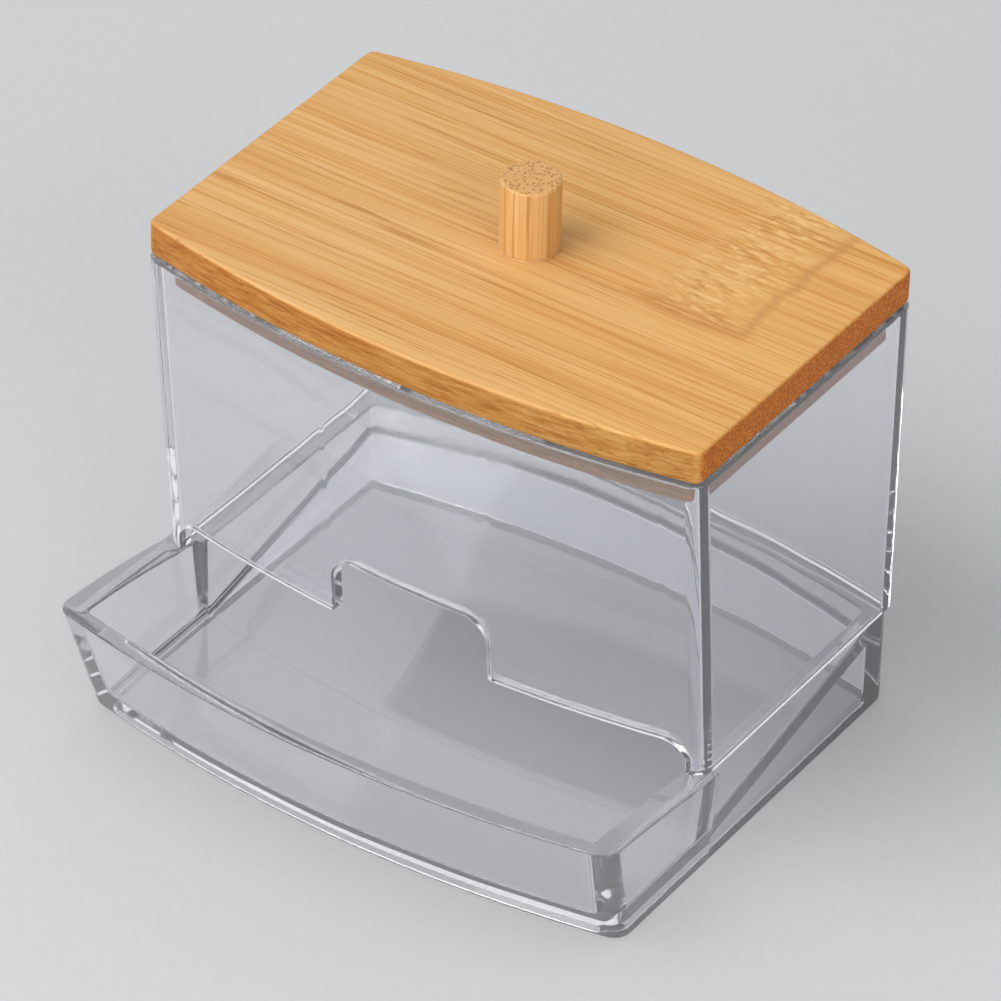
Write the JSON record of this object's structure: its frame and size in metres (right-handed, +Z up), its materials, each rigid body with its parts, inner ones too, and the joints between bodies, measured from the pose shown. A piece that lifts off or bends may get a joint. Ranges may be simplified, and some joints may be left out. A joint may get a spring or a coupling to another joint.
{
  "type": "cotton swab dispenser box",
  "caption": "Clear box that feeds cotton swabs from a bowed hopper down a ramp into an open front tray, closed by a loose bamboo lid with a round knob.",
  "frame": {"origin": "on the table, under the middle of the box's footprint", "axes": "+X to the right along the width as seen from the tray's side, +Y to the back, +Z up"},
  "size_m": [0.098, 0.0879, 0.0894],
  "materials": {
    "clear_plastic": "clear, polished moulding",
    "bamboo": "pressed bamboo board, fine straight grain, clear varnish",
    "bamboo_dowel": "turned bamboo dowel, speckled end grain, clear varnish"
  },
  "bodies": {
    "box": {"hopper": "clear_plastic", "base_tray": "clear_plastic"},
    "lid": {"lid": "bamboo", "knob": "bamboo_dowel"}
  },
  "joints": [
    {"name": "lid_lift", "type": "slide", "parent": "box", "child": "lid", "axis": [0, 0, 1], "range_m": [0, 0.06]}
  ]
}
